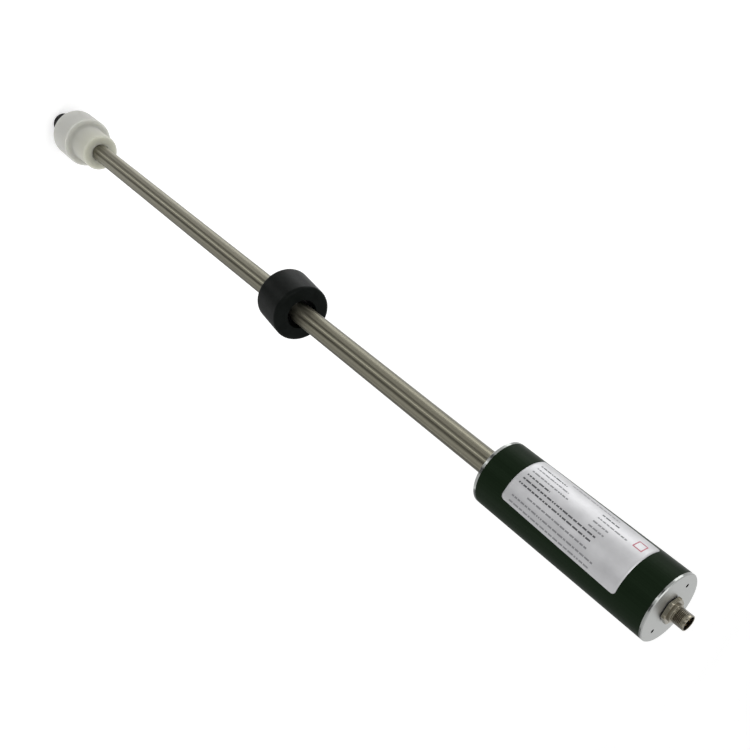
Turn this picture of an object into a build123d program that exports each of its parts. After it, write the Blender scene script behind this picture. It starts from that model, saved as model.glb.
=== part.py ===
from build123d import *
import math
import os

# Automatic tank gauge: a magnetic float rides on a stainless stem below a round electronics housing.
# It stands as it is installed. +Z runs up the stem, and the origin is the centre of the rubber foot's
# underside. The labelled side faces -Y. All sizes are in millimetres and all angles in degrees.

# Fits shared by many pieces
SLIP = 0.05  # radial clearance of a piece pushed or screwed into another

# Rubber foot on the lower end of the stem
FOOT_RADIUS = 13.4
FOOT_HEIGHT = 39.0
FOOT_FLOOR = 5.0
FOOT_EDGE = 1.5

# White plastic boot: a wide body below a narrower collar
BOOT_BODY_RADIUS = 29.4
BOOT_BODY_HEIGHT = 37.5
BOOT_COLLAR_RADIUS = 21.4
BOOT_COLLAR_HEIGHT = 37.0
BOOT_EDGE = 0.8
SET_SCREW_RADIUS = 2.5
SET_SCREW_LENGTH = 9.0
SET_SCREW_SOCKET = 2.5  # across the flats
SET_SCREW_DEPTH = 3.0
SET_SCREW_DROP = 18.0  # below the collar's top face

# Stem tube and the plug welded into its lower end
STEM_RADIUS = 10.0
STEM_WALL = 1.5
STEM_EXPOSED = 703.4
PLUG_HEAD = 2.0
PLUG_SPIGOT = 8.0

# Float, hanging loosely on the stem
FLOAT_RADIUS = 27.5
FLOAT_HEIGHT = 41.0
FLOAT_BORE_RADIUS = 14.2
FLOAT_EDGE = 3.5
FLOAT_BORE_EDGE = 0.6
FLOAT_DROP = 280.5  # from the housing's lower face to the float's middle
FLOAT_TILT = 8.1
FLOAT_TILT_TOWARDS = -47.5
FLOAT_SHIFT_X = -1.9
FLOAT_SHIFT_Y = -1.75
MAGNET_COUNT = 4
MAGNET_RADIUS = 3.0
MAGNET_LENGTH = 12.0
MAGNET_PLUG = 3.0

# Housing tube and its two screwed caps
HOUSING_RADIUS = 27.0
HOUSING_WALL = 3.0
HOUSING_TUBE_LENGTH = 152.9
TOP_RIM = 2.0
BOTTOM_RIM = 2.7
RIM_EDGE = 0.6
TOP_SPIGOT = 14.0
BOTTOM_SPIGOT = 12.0
TOP_PLATE = 6.0
TOP_RECESS_RADIUS = 18.0
SPANNER_HOLE_RADIUS = 1.5
SPANNER_HOLE_DEPTH = 4.0
SPANNER_SPACING = 36.8
CORD_RADIUS = 1.0  # section of the cap O-rings
GROOVE_WIDTH = 2.6
GROOVE_RISE = 3.0  # from a cap's rim to its O-ring groove

# Label wrapped on the housing
LABEL_THICKNESS = 0.1
LABEL_GLUE = 0.05
LABEL_LENGTH = 106.0
LABEL_SPAN = 106.0
LABEL_CORNER = 3.0
LABEL_SKEW = -1.8
LABEL_TOWARDS = -113.7
LABEL_DROP = 24.6  # from the top cap's outer face to the label

# Stem flange, clamped to the inside of the bottom cap
FLANGE_RADIUS = 18.0
FLANGE_THICKNESS = 4.0
FLANGE_SCREW_COUNT = 3
FLANGE_SCREW_CIRCLE = 13.8
M3_RADIUS = 1.5
M3_HEAD_RADIUS = 2.75
M3_HEAD_HEIGHT = 3.0
M3_SOCKET = 2.5
M3_SOCKET_DEPTH = 1.5
M3_REACH = 5.0
STEM_CORD_RADIUS = 0.8  # section of the stem's O-ring
STEM_GROOVE_WIDTH = 2.0
STEM_GROOVE_RISE = 5.0

# Signal connector in the top cap
SEAL_RADIUS = 8.9
SEAL_THICKNESS = 0.8
HEX_FLATS = 18.0
HEX_THICKNESS = 2.8
HEX_EDGE = 0.5
HEX_TURN = 15.0
STEP_RADIUS = 7.0
STEP_HEIGHT = 1.9
BARREL_RADIUS = 6.0
BARREL_LENGTH = 9.4
BARREL_EDGE = 0.3
RELIEF_DEPTH = 0.4
RELIEF_HEIGHT = 1.2
SOCKET_RADIUS = 5.2
SOCKET_DEPTH = 7.5
NECK_RADIUS = 7.5
LOCK_NUT_FLATS = 19.0
LOCK_NUT_THICKNESS = 3.5
NECK_SPARE = 1.5
PIN_COUNT = 4
PIN_RADIUS = 0.5
PIN_CIRCLE = 2.7
PIN_RECESS = 1.5
PIN_TAIL = 3.0
PIN_SLIP = 0.02
KEY_WIDTH = 1.2
KEY_DEPTH = 0.8

# Pickup head on top of the stem
HEAD_RADIUS = 10.0
HEAD_THICKNESS = 3.0
HEAD_SPIGOT = 6.0
BOBBIN_RADIUS = 4.4
BOBBIN_FLANGE = 1.0
BOBBIN_CORE = 2.3
COIL_RADIUS = 4.1
COIL_HEIGHT = 10.0
DAMPER_RADIUS = 3.2
HEAD_DAMPER_HEIGHT = 10.0
BIAS_MAGNET = (2.6, 5.0, 8.0)
BIAS_MAGNET_OUT = 6.7  # from the stem's axis to the magnet's middle
LEAD_RADIUS = 0.25
LEAD_SPREAD = 3.0

# Sensing line inside the stem
WAVEGUIDE_RADIUS = 0.35
RETURN_RADIUS = 0.25
RETURN_OUT = 0.9
SLEEVE_RADIUS = 1.6
SLEEVE_WALL = 0.4
TIP_DAMPER_LENGTH = 60.0
SPACER_COUNT = 6
SPACER_THICKNESS = 8.0
STRIP_WIDTH = 6.0
STRIP_THICKNESS = 0.3
SENSOR_COUNT = 5
SENSOR_SIZE = (1.6, 3.0, 5.0)

# Circuit board and its carrier
CARRIER_RADIUS = 23.7
CARRIER_WALL = 1.8
CARRIER_TOP_GAP = 1.0
LEDGE_WIDTH = 6.0
LEDGE_DEPTH = 5.0
BOARD_BACK = -4.8
BOARD_THICKNESS = 1.6
BOARD_WIDTH = 40.0
BOARD_RISE = 3.0  # from the head damper to the board
WIRE_ROOM = 8.9  # from the board's upper edge to the connector's solder tails
BOARD_SCREW_INSET = 3.5
BOARD_SCREW_RADIUS = 1.25
BOARD_SCREW_HEAD = 2.3
BOARD_SCREW_HEAD_HEIGHT = 1.8
BOARD_SCREW_REACH = 3.5
STRIP_LAP = 8.0
PROCESSOR = (1.5, 10.0, 10.0)
INTERFACE_CHIP = (1.2, 5.0, 6.0)
CHIP_COUNT = 3
CAPACITOR_RADIUS = 3.2
CAPACITOR_LENGTH = 7.5
CAPACITOR_COUNT = 3
TRANSFORMER = (8.0, 13.0, 12.0)
TERMINAL_BLOCK = (9.0, 17.0, 10.0)
TERMINAL_DROP = 2.0
TERMINAL_OUT = 4.5
TERMINAL_PITCH = 4.0
TERMINAL_HOLE_DEPTH = 4.0
WIRE_RADIUS = 0.6
WIRE_BEND = 1.6
WIRE_STRAIGHT = 3.0

# Heights worked out from the sizes above
BOOT_LOW = FOOT_HEIGHT
BOOT_SHOULDER = BOOT_LOW + BOOT_BODY_HEIGHT
BOOT_TOP = BOOT_SHOULDER + BOOT_COLLAR_HEIGHT
HOUSING_LOW = BOOT_TOP + STEM_EXPOSED
TUBE_LOW = HOUSING_LOW + BOTTOM_RIM
TUBE_HIGH = TUBE_LOW + HOUSING_TUBE_LENGTH
HOUSING_HIGH = TUBE_HIGH + TOP_RIM
CAP_FLOOR = TUBE_LOW + BOTTOM_SPIGOT
CAP_CEILING = TUBE_HIGH - TOP_SPIGOT
FLANGE_LOW = CAP_FLOOR - FLANGE_THICKNESS
STEM_LOW = FOOT_FLOOR + PLUG_HEAD
STEM_BORE = STEM_RADIUS - STEM_WALL
HEAD_TOP = CAP_FLOOR + HEAD_THICKNESS
BOBBIN_TOP = HEAD_TOP + COIL_HEIGHT + 2 * BOBBIN_FLANGE
DAMPER_TOP = BOBBIN_TOP + HEAD_DAMPER_HEIGHT
PLUG_TOP = STEM_LOW + PLUG_SPIGOT
LINE_LOW = PLUG_TOP + SLIP
BOARD_LOW = DAMPER_TOP + BOARD_RISE
BOARD_FRONT = BOARD_BACK + BOARD_THICKNESS
HOUSING_BORE = HOUSING_RADIUS - HOUSING_WALL
SPIGOT_RADIUS = HOUSING_BORE - SLIP
HEX_LOW = HOUSING_HIGH + SEAL_THICKNESS
STEP_LOW = HEX_LOW + HEX_THICKNESS
BARREL_LOW = STEP_LOW + STEP_HEIGHT
BARREL_HIGH = BARREL_LOW + BARREL_LENGTH
SOCKET_FLOOR = BARREL_HIGH - SOCKET_DEPTH
PLATE_LOW = HOUSING_HIGH - TOP_PLATE
NECK_LOW = PLATE_LOW - LOCK_NUT_THICKNESS - NECK_SPARE
PIN_LOW = NECK_LOW - PIN_TAIL
BOARD_HIGH = PIN_LOW - WIRE_ROOM
BOARD_LENGTH = BOARD_HIGH - BOARD_LOW
TERMINAL_HIGH = BOARD_HIGH - TERMINAL_DROP
TERMINAL_X = BOARD_FRONT + TERMINAL_OUT

ABOVE = (Align.CENTER, Align.CENTER, Align.MIN)


def rod(radius, low, high, x=0.0, y=0.0):
    """A round bar standing between two heights."""
    return Pos(x, y, low) * Cylinder(radius, high - low, align=ABOVE)


def tube(outer, inner, low, high):
    """A round tube standing between two heights."""
    return rod(outer, low, high) - rod(inner, low, high)


def turned(*corners):
    """A lathe-turned piece, from its section's corners as (radius, height)."""
    return revolve(Plane.XZ * make_face(Polyline(*corners, close=True)), Axis.Z)


def cuboid(size, x_low, y_middle, z_low):
    """A block whose sizes are (X, Y, Z), by its back, its middle and its underside."""
    return Pos(x_low + size[0] / 2, y_middle, z_low) * Box(*size, align=ABOVE)


def hexagon(flats, low, high, turn=0.0):
    """A hexagonal bar between two heights."""
    outline = Rot(0, 0, turn) * RegularPolygon(flats / 2, 6, major_radius=False)
    return extrude(Pos(0, 0, low) * outline, high - low)


def around(count, radius, start=0.0):
    """Points evenly spaced on a circle."""
    angles = [math.radians(start + 360 * k / count) for k in range(count)]
    return [(radius * math.cos(a), radius * math.sin(a)) for a in angles]


def socket_screw(radius, reach, head_radius, head_height, socket, socket_depth):
    """A cap screw with its head's underside at the origin and its shank down -Z."""
    shank = rod(radius - SLIP, -reach, 0)
    head = rod(head_radius, 0, head_height)
    return shank + head - hexagon(socket, head_height - socket_depth, head_height)


# Foot, boot and stem


def make_foot():
    """Rubber ferrule pushed over the end of the stem."""
    outside = turned(
        (0, 0), (FOOT_RADIUS, 0), (FOOT_RADIUS, FOOT_HEIGHT), (0, FOOT_HEIGHT)
    )
    outside = fillet(outside.edges().group_by(Axis.Z)[0], FOOT_EDGE)
    return outside - rod(STEM_RADIUS + SLIP, FOOT_FLOOR, FOOT_HEIGHT)


def set_screw_place():
    """Origin on the stem's surface behind the collar, with its Z axis pointing out."""
    height = BOOT_TOP - SET_SCREW_DROP
    return Plane(origin=(0, STEM_RADIUS + SLIP, height), z_dir=(0, 1, 0))


def make_boot():
    """Body and collar turned in one piece from white plastic, drilled for the stem and its screw."""
    e = BOOT_EDGE
    shape = turned(
        (STEM_RADIUS + SLIP, BOOT_LOW),
        (BOOT_BODY_RADIUS - e, BOOT_LOW),
        (BOOT_BODY_RADIUS, BOOT_LOW + e),
        (BOOT_BODY_RADIUS, BOOT_SHOULDER - e),
        (BOOT_BODY_RADIUS - e, BOOT_SHOULDER),
        (BOOT_COLLAR_RADIUS, BOOT_SHOULDER),
        (BOOT_COLLAR_RADIUS, BOOT_TOP - e),
        (BOOT_COLLAR_RADIUS - e, BOOT_TOP),
        (STEM_RADIUS + SLIP, BOOT_TOP),
    )
    hole = Cylinder(SET_SCREW_RADIUS, BOOT_COLLAR_RADIUS, align=ABOVE)
    return shape - set_screw_place() * Pos(0, 0, -SLIP) * hole


def make_set_screw():
    """Grub screw that clamps the boot on the stem, sunk into the back of the collar."""
    length = SET_SCREW_LENGTH
    point = turned(
        (0, 0),
        (SET_SCREW_RADIUS / 2, 0),
        (SET_SCREW_RADIUS - SLIP, SET_SCREW_RADIUS / 2),
        (SET_SCREW_RADIUS - SLIP, length),
        (0, length),
    )
    socket = hexagon(SET_SCREW_SOCKET, length - SET_SCREW_DEPTH, length)
    return set_screw_place() * (point - socket)


def make_stem_tube():
    """Polished stainless tube from the foot up to the inside of the bottom cap."""
    return tube(STEM_RADIUS, STEM_BORE, STEM_LOW, CAP_FLOOR)


def make_stem_end_plug():
    """Stainless plug that closes the lower end of the tube."""
    head = rod(STEM_RADIUS, FOOT_FLOOR, STEM_LOW)
    return head + rod(STEM_BORE - SLIP, STEM_LOW, PLUG_TOP)


# Float


def float_place():
    """The float's own frame, with its origin at the float's middle."""
    lean = Rot(0, 0, FLOAT_TILT_TOWARDS) * Rot(0, FLOAT_TILT, 0) * Rot(0, 0, -FLOAT_TILT_TOWARDS)
    return Pos(FLOAT_SHIFT_X, FLOAT_SHIFT_Y, HOUSING_LOW - FLOAT_DROP) * lean


def magnet_places():
    """Middles of the magnet holes, halfway between the float's bore and its side."""
    return around(MAGNET_COUNT, (FLOAT_RADIUS + FLOAT_BORE_RADIUS) / 2, 45.0)


def make_float_body():
    """Black foam ring with rounded rims, a flared bore and blind magnet holes from below."""
    half = FLOAT_HEIGHT / 2
    body = tube(FLOAT_RADIUS, FLOAT_BORE_RADIUS, -half, half)
    rims = body.edges().filter_by(GeomType.CIRCLE)
    body = fillet(rims.filter_by(lambda e: e.radius > FLOAT_BORE_RADIUS), FLOAT_EDGE)
    mouths = body.edges().filter_by(GeomType.CIRCLE)
    mouths = mouths.filter_by(lambda e: e.radius < FLOAT_BORE_RADIUS + SLIP)
    body = chamfer(mouths, FLOAT_BORE_EDGE)
    depth = MAGNET_LENGTH + MAGNET_PLUG
    for x, y in magnet_places():
        body -= rod(MAGNET_RADIUS + SLIP, -half, -half + depth, x, y)
    return float_place() * body


def make_float_magnets():
    """Rod magnets at the bottoms of the float's blind holes."""
    low = MAGNET_PLUG - FLOAT_HEIGHT / 2
    rods = [rod(MAGNET_RADIUS, low, low + MAGNET_LENGTH, x, y) for x, y in magnet_places()]
    return float_place() * Compound(rods)


def make_float_magnet_plugs():
    """Resin plugs that seal the magnets in, flush with the float's lower face."""
    low = -FLOAT_HEIGHT / 2
    rods = [rod(MAGNET_RADIUS, low, low + MAGNET_PLUG, x, y) for x, y in magnet_places()]
    return float_place() * Compound(rods)


# Housing


def groove(rim_face, inwards):
    """O-ring groove in a cap's spigot, measured from the rim towards the tube's middle."""
    start = rim_face + inwards * GROOVE_RISE
    low, high = sorted((start, start + inwards * GROOVE_WIDTH))
    return tube(HOUSING_BORE, HOUSING_BORE - 2 * CORD_RADIUS, low, high)


def cap_o_ring(rim_face, inwards):
    """O-ring in the middle of that groove, against the tube's bore."""
    middle = rim_face + inwards * (GROOVE_RISE + GROOVE_WIDTH / 2)
    return Pos(0, 0, middle) * Torus(HOUSING_BORE - CORD_RADIUS, CORD_RADIUS - SLIP / 2)


def make_housing_tube():
    """Black anodised aluminium tube."""
    return tube(HOUSING_RADIUS, HOUSING_BORE, TUBE_LOW, TUBE_HIGH)


def make_top_cap():
    """Aluminium cap with the connector's hole in its plate and two blind spanner holes."""
    shape = turned(
        (0, PLATE_LOW),
        (TOP_RECESS_RADIUS, PLATE_LOW),
        (TOP_RECESS_RADIUS, CAP_CEILING),
        (SPIGOT_RADIUS, CAP_CEILING),
        (SPIGOT_RADIUS, TUBE_HIGH),
        (HOUSING_RADIUS, TUBE_HIGH),
        (HOUSING_RADIUS, HOUSING_HIGH - RIM_EDGE),
        (HOUSING_RADIUS - RIM_EDGE, HOUSING_HIGH),
        (0, HOUSING_HIGH),
    )
    shape -= rod(NECK_RADIUS + SLIP, PLATE_LOW, HOUSING_HIGH)
    for side in (-0.5, 0.5):
        low = HOUSING_HIGH - SPANNER_HOLE_DEPTH
        shape -= rod(SPANNER_HOLE_RADIUS, low, HOUSING_HIGH, side * SPANNER_SPACING)
    return shape - groove(TUBE_HIGH, -1)


def flange_screw_points():
    """Centres of the stem flange's screws."""
    return around(FLANGE_SCREW_COUNT, FLANGE_SCREW_CIRCLE, 30.0)


def make_bottom_cap():
    """Aluminium cap bored for the stem, with a seat for its flange on the inside."""
    shape = turned(
        (STEM_RADIUS + SLIP, HOUSING_LOW),
        (HOUSING_RADIUS - RIM_EDGE, HOUSING_LOW),
        (HOUSING_RADIUS, HOUSING_LOW + RIM_EDGE),
        (HOUSING_RADIUS, TUBE_LOW),
        (SPIGOT_RADIUS, TUBE_LOW),
        (SPIGOT_RADIUS, CAP_FLOOR),
        (FLANGE_RADIUS + SLIP, CAP_FLOOR),
        (FLANGE_RADIUS + SLIP, FLANGE_LOW),
        (STEM_RADIUS + SLIP, FLANGE_LOW),
    )
    for x, y in flange_screw_points():
        shape -= rod(M3_RADIUS, FLANGE_LOW - M3_REACH, FLANGE_LOW, x, y)
    low = HOUSING_LOW + STEM_GROOVE_RISE
    shape -= tube(STEM_RADIUS + 2 * STEM_CORD_RADIUS, STEM_RADIUS, low, low + STEM_GROOVE_WIDTH)
    return shape - groove(TUBE_LOW, 1)


def make_stem_o_ring():
    """O-ring between the stem and the bottom cap."""
    middle = HOUSING_LOW + STEM_GROOVE_RISE + STEM_GROOVE_WIDTH / 2
    return Pos(0, 0, middle) * Torus(STEM_RADIUS + STEM_CORD_RADIUS, STEM_CORD_RADIUS - SLIP / 2)


def make_stem_flange():
    """Stainless disc welded round the stem's upper end, seated in the bottom cap."""
    disc = tube(FLANGE_RADIUS, STEM_RADIUS, FLANGE_LOW, CAP_FLOOR)
    for x, y in flange_screw_points():
        disc -= rod(M3_RADIUS, FLANGE_LOW, CAP_FLOOR, x, y)
    return disc


def make_stem_flange_screws():
    """Cap screws that pull the flange onto the bottom cap."""
    reach = FLANGE_THICKNESS + M3_REACH
    screw = socket_screw(
        M3_RADIUS, reach, M3_HEAD_RADIUS, M3_HEAD_HEIGHT, M3_SOCKET, M3_SOCKET_DEPTH
    )
    return Compound([Pos(x, y, CAP_FLOOR) * screw for x, y in flange_screw_points()])


def make_label():
    """Silver foil label with rounded corners, stuck a little askew round the housing."""
    middle = HOUSING_HIGH - LABEL_DROP - LABEL_LENGTH / 2
    towards = math.radians(LABEL_TOWARDS)
    face = Plane(
        origin=(0, 0, middle),
        x_dir=(0, 0, 1),
        z_dir=(math.cos(towards), math.sin(towards), 0),
    )
    chord = 2 * HOUSING_RADIUS * math.sin(math.radians(LABEL_SPAN / 2))
    outline = Rot(0, 0, LABEL_SKEW) * RectangleRounded(LABEL_LENGTH, chord, LABEL_CORNER)
    inner = HOUSING_RADIUS + LABEL_GLUE
    outer = inner + LABEL_THICKNESS
    skin = tube(outer, inner, TUBE_LOW, TUBE_HIGH)
    return skin & extrude(face * outline, 2 * outer)


# Signal connector


def make_connector_seal():
    """Flat rubber washer under the connector's hexagon."""
    return tube(SEAL_RADIUS, NECK_RADIUS + SLIP, HOUSING_HIGH, HEX_LOW)


def make_connector_shell():
    """Nickel-plated brass body: hexagon, round step, threaded barrel and threaded neck."""
    corner = HEX_FLATS / math.sqrt(3)
    rounded = turned(
        (0, HEX_LOW),
        (corner, HEX_LOW),
        (corner, STEP_LOW - HEX_EDGE),
        (corner - 2 * HEX_EDGE, STEP_LOW),
        (0, STEP_LOW),
    )
    shell = rounded & hexagon(HEX_FLATS, HEX_LOW, STEP_LOW, HEX_TURN)
    relief_high = BARREL_LOW + RELIEF_HEIGHT
    shell += turned(
        (0, HEX_LOW),
        (STEP_RADIUS, HEX_LOW),
        (STEP_RADIUS, BARREL_LOW - RELIEF_DEPTH),
        (STEP_RADIUS - RELIEF_DEPTH, BARREL_LOW),
        (BARREL_RADIUS - RELIEF_DEPTH, BARREL_LOW),
        (BARREL_RADIUS - RELIEF_DEPTH, relief_high - RELIEF_DEPTH),
        (BARREL_RADIUS, relief_high),
        (BARREL_RADIUS, BARREL_HIGH - BARREL_EDGE),
        (BARREL_RADIUS - BARREL_EDGE, BARREL_HIGH),
        (0, BARREL_HIGH),
    )
    shell += rod(NECK_RADIUS, NECK_LOW, HEX_LOW)
    return shell - rod(SOCKET_RADIUS, NECK_LOW, BARREL_HIGH)


def pin_points():
    """Centres of the contact pins, in the order of the terminals that they are wired to."""
    return around(PIN_COUNT, PIN_CIRCLE, -135.0)


def make_connector_insert():
    """Black plastic core that holds the pins, with a coding key in the socket."""
    core = rod(SOCKET_RADIUS - SLIP, NECK_LOW, SOCKET_FLOOR)
    key_out = SOCKET_RADIUS - SLIP - KEY_DEPTH / 2
    key_low = SOCKET_FLOOR - KEY_DEPTH
    key_high = BARREL_HIGH - 2 * PIN_RECESS
    key = Pos(0, key_out, key_low) * Box(
        KEY_WIDTH, KEY_DEPTH, key_high - key_low, align=ABOVE
    )
    core += key & rod(SOCKET_RADIUS - SLIP, key_low, key_high)
    for x, y in pin_points():
        core -= rod(PIN_RADIUS + PIN_SLIP, NECK_LOW, SOCKET_FLOOR, x, y)
    return core


def make_connector_pins():
    """Gold-plated pins with solder tails inside the housing."""
    high = BARREL_HIGH - PIN_RECESS
    return Compound([rod(PIN_RADIUS, PIN_LOW, high, x, y) for x, y in pin_points()])


def make_connector_lock_nut():
    """Hexagon nut on the connector's neck, under the top cap's plate."""
    low = PLATE_LOW - LOCK_NUT_THICKNESS
    return hexagon(LOCK_NUT_FLATS, low, PLATE_LOW) - rod(NECK_RADIUS + SLIP, low, PLATE_LOW)


# Pickup head and the sensing line in the stem


def strip_slot(low, high):
    """Room for the sensor strip through a piece."""
    size = (STRIP_THICKNESS + 2 * SLIP, STRIP_WIDTH + 2 * SLIP, high - low)
    return cuboid(size, BOARD_BACK - STRIP_THICKNESS - SLIP, 0, low)


def make_pickup_head():
    """Plastic collar on the stem's upper end that carries the coil."""
    low = CAP_FLOOR - HEAD_SPIGOT
    head = rod(HEAD_RADIUS, CAP_FLOOR, HEAD_TOP) + rod(STEM_BORE - SLIP, low, CAP_FLOOR)
    return head - rod(SLEEVE_RADIUS + SLIP, low, HEAD_TOP) - strip_slot(low, HEAD_TOP)


def make_pickup_bobbin():
    """Plastic spool round the waveguide wire."""
    low, high = HEAD_TOP + BOBBIN_FLANGE, BOBBIN_TOP - BOBBIN_FLANGE
    spool = tube(BOBBIN_CORE, SLEEVE_RADIUS, HEAD_TOP, BOBBIN_TOP)
    spool += tube(BOBBIN_RADIUS, SLEEVE_RADIUS, HEAD_TOP, low)
    return spool + tube(BOBBIN_RADIUS, SLEEVE_RADIUS, high, BOBBIN_TOP)


def make_pickup_coil():
    """Copper winding on the spool."""
    low, high = HEAD_TOP + BOBBIN_FLANGE, BOBBIN_TOP - BOBBIN_FLANGE
    return tube(COIL_RADIUS, BOBBIN_CORE, low, high)


def make_pickup_leads():
    """The coil's two ends, straight up to the lower edge of the board."""
    x = (BOARD_BACK + BOARD_FRONT) / 2
    leads = [
        rod(LEAD_RADIUS, BOBBIN_TOP, BOARD_LOW, x, side * LEAD_SPREAD)
        for side in (-0.5, 0.5)
    ]
    return Compound(leads)


def make_bias_magnet():
    """Small bar magnet beside the coil."""
    x_low = BIAS_MAGNET_OUT - BIAS_MAGNET[0] / 2
    return cuboid(BIAS_MAGNET, x_low, 0, HEAD_TOP)


def make_head_damper():
    """Silicone block that holds the wire's upper end and swallows echoes."""
    block = rod(DAMPER_RADIUS, BOBBIN_TOP, DAMPER_TOP)
    return block - rod(WAVEGUIDE_RADIUS, BOBBIN_TOP, BOBBIN_TOP + HEAD_DAMPER_HEIGHT / 2)


def make_waveguide_wire():
    """Magnetostrictive wire from the tip damper to the head damper."""
    return rod(WAVEGUIDE_RADIUS, LINE_LOW, BOBBIN_TOP + HEAD_DAMPER_HEIGHT / 2)


def make_return_wire():
    """Copper wire that brings the current pulse back beside the waveguide."""
    return rod(RETURN_RADIUS, LINE_LOW + TIP_DAMPER_LENGTH, BOBBIN_TOP, RETURN_OUT)


def make_waveguide_sleeve():
    """Slippery plastic sleeve round both wires."""
    low = LINE_LOW + TIP_DAMPER_LENGTH
    return tube(SLEEVE_RADIUS, SLEEVE_RADIUS - SLEEVE_WALL, low, HEAD_TOP)


def make_tip_damper():
    """Silicone rod round the wire's lower end."""
    high = LINE_LOW + TIP_DAMPER_LENGTH
    return tube(DAMPER_RADIUS, WAVEGUIDE_RADIUS, PLUG_TOP, high)


def line_stations(count, low, high):
    """Heights of a row of like pieces, each in the middle of its equal share."""
    pitch = (high - low) / count
    return [low + (k + 0.5) * pitch for k in range(count)]


def spacer_heights():
    """Undersides of the spacers."""
    low = LINE_LOW + TIP_DAMPER_LENGTH
    return line_stations(SPACER_COUNT, low, HOUSING_LOW)


def make_sleeve_spacers():
    """Rubber discs that keep the sleeve in the middle of the stem, slotted for the strip."""
    spacers = []
    for low in spacer_heights():
        high = low + SPACER_THICKNESS
        disc = tube(STEM_BORE - SLIP, SLEEVE_RADIUS + SLIP, low, high)
        spacers.append(disc - strip_slot(low, high))
    return Compound(spacers)


def make_sensor_strip():
    """Flexible circuit strip from the lowest temperature sensor to the back of the board."""
    size = (STRIP_THICKNESS, STRIP_WIDTH, BOARD_LOW + STRIP_LAP - LINE_LOW)
    return cuboid(size, BOARD_BACK - STRIP_THICKNESS, 0, LINE_LOW)


def make_temperature_sensors():
    """Temperature sensors on the strip, each halfway between two spacers."""
    heights = spacer_heights()
    pitch = heights[1] - heights[0]
    back = BOARD_BACK - STRIP_THICKNESS - SENSOR_SIZE[0]
    middles = [heights[k] + (pitch + SPACER_THICKNESS) / 2 for k in range(SENSOR_COUNT)]
    sensors = [cuboid(SENSOR_SIZE, back, 0, m - SENSOR_SIZE[2] / 2) for m in middles]
    return Compound(sensors)


# Circuit board


def board_screw_points():
    """Board screws as (Y, Z)."""
    y = BOARD_WIDTH / 2 - BOARD_SCREW_INSET
    heights = (BOARD_LOW + BOARD_SCREW_INSET, BOARD_HIGH - BOARD_SCREW_INSET)
    return [(side * y, z) for side in (-1, 1) for z in heights]


def across(radius, x_low, x_high, y, z):
    """A round bar lying along X."""
    place = Plane(origin=(x_low, y, z), z_dir=(1, 0, 0))
    return place * Cylinder(radius, x_high - x_low, align=ABOVE)


def make_board_carrier():
    """Moulded half-round trough between the caps, with a ledge under each edge of the board."""
    high = CAP_CEILING - CARRIER_TOP_GAP
    trough = tube(CARRIER_RADIUS, CARRIER_RADIUS - CARRIER_WALL, CAP_FLOOR, high)
    back = (CARRIER_RADIUS, 2 * CARRIER_RADIUS, high - CAP_FLOOR)
    trough &= cuboid(back, BOARD_BACK - CARRIER_RADIUS, 0, CAP_FLOOR)
    inside = rod(CARRIER_RADIUS, BOARD_LOW, BOARD_HIGH)
    for side in (-1, 1):
        middle = side * (BOARD_WIDTH / 2 + SLIP - LEDGE_WIDTH / 2 + CARRIER_WALL)
        size = (LEDGE_DEPTH, LEDGE_WIDTH, BOARD_LENGTH)
        trough += cuboid(size, BOARD_BACK - LEDGE_DEPTH, middle, BOARD_LOW) & inside
    for y, z in board_screw_points():
        trough -= across(BOARD_SCREW_RADIUS, BOARD_BACK - BOARD_SCREW_REACH, BOARD_BACK, y, z)
    return trough


def make_main_board():
    """Glass-fibre circuit board."""
    board = cuboid((BOARD_THICKNESS, BOARD_WIDTH, BOARD_LENGTH), BOARD_BACK, 0, BOARD_LOW)
    for y, z in board_screw_points():
        board -= across(BOARD_SCREW_RADIUS, BOARD_BACK, BOARD_FRONT, y, z)
    return board


def make_board_screws():
    """Pan-head screws through the board into the ledges."""
    reach = BOARD_SCREW_REACH
    screws = []
    for y, z in board_screw_points():
        shank = across(BOARD_SCREW_RADIUS - SLIP, BOARD_BACK - reach, BOARD_FRONT, y, z)
        head_high = BOARD_FRONT + BOARD_SCREW_HEAD_HEIGHT
        head = across(BOARD_SCREW_HEAD, BOARD_FRONT, head_high, y, z)
        screws.append(shank + head)
    return Compound(screws)


def board_share(number):
    """Middle height of one of five equal shares of the board, counted from below."""
    return BOARD_LOW + (number + 0.5) * BOARD_LENGTH / 5


def make_processor():
    """Square chip in the middle of the board."""
    return cuboid(PROCESSOR, BOARD_FRONT, 0, board_share(2) - PROCESSOR[2] / 2)


def make_interface_chips():
    """Row of small chips above the board's lower edge."""
    low = board_share(0) - INTERFACE_CHIP[2] / 2
    pitch = INTERFACE_CHIP[1] * 2
    middles = [(k - (CHIP_COUNT - 1) / 2) * pitch for k in range(CHIP_COUNT)]
    return Compound([cuboid(INTERFACE_CHIP, BOARD_FRONT, y, low) for y in middles])


def make_capacitors():
    """Row of round capacitors standing off the board."""
    high = BOARD_FRONT + CAPACITOR_LENGTH
    pitch = CAPACITOR_RADIUS * 3
    middles = [(k - (CAPACITOR_COUNT - 1) / 2) * pitch for k in range(CAPACITOR_COUNT)]
    z = board_share(1)
    return Compound([across(CAPACITOR_RADIUS, BOARD_FRONT, high, y, z) for y in middles])


def make_isolation_transformer():
    """Transformer between the incoming supply and the pulse circuit."""
    return cuboid(TRANSFORMER, BOARD_FRONT, 0, board_share(3) - TRANSFORMER[2] / 2)


def terminal_points():
    """Y of each wire's entry into the terminal block."""
    return [(k - (PIN_COUNT - 1) / 2) * TERMINAL_PITCH for k in range(PIN_COUNT)]


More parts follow.
